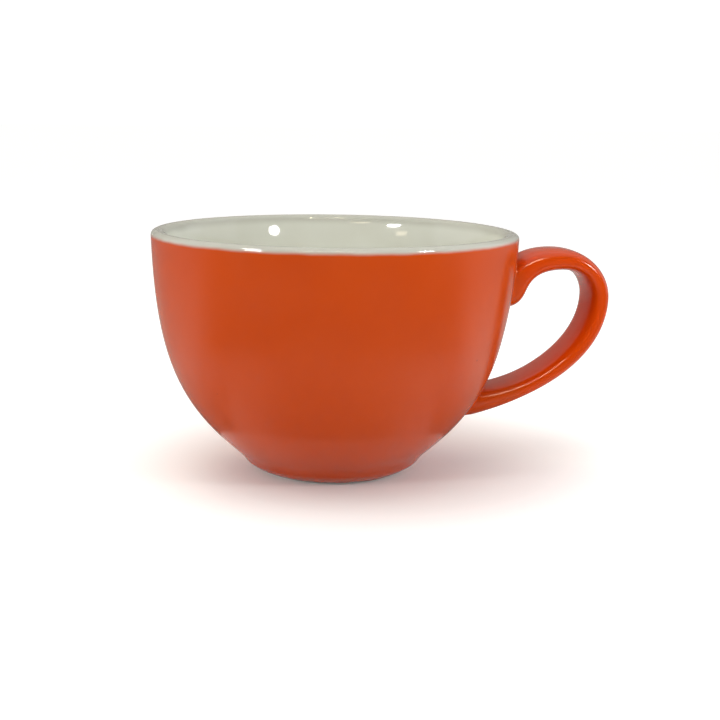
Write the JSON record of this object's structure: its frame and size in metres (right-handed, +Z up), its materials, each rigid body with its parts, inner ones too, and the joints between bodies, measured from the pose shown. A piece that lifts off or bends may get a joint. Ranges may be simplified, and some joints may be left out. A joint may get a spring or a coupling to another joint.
{
  "type": "latte cup",
  "caption": "Glazed porcelain latte cup: a deep rounded bowl on a small tapered foot with a strap handle, white inside and over the lip, orange outside.",
  "frame": {"origin": "On the table plane under the middle of the whole cup, handle included, so the bowl's upright axis stands 15.65 mm from it towards -X.", "axes": "+X points out of the bowl towards the handle, +Y across the handle, +Z up."},
  "size_m": [0.1412, 0.11, 0.0738],
  "materials": {
    "porcelain": "bare fired porcelain, matt",
    "white_glaze": "glossy white glaze",
    "orange_glaze": "glossy orange glaze"
  },
  "bodies": {
    "root": {"bowl": "porcelain", "handle": "porcelain", "upper_slip_joint": "porcelain", "lower_slip_joint": "porcelain", "inner_glaze": "white_glaze", "outer_glaze": "orange_glaze", "handle_glaze": "orange_glaze", "foot_well_glaze": "white_glaze"}
  },
  "joints": []
}
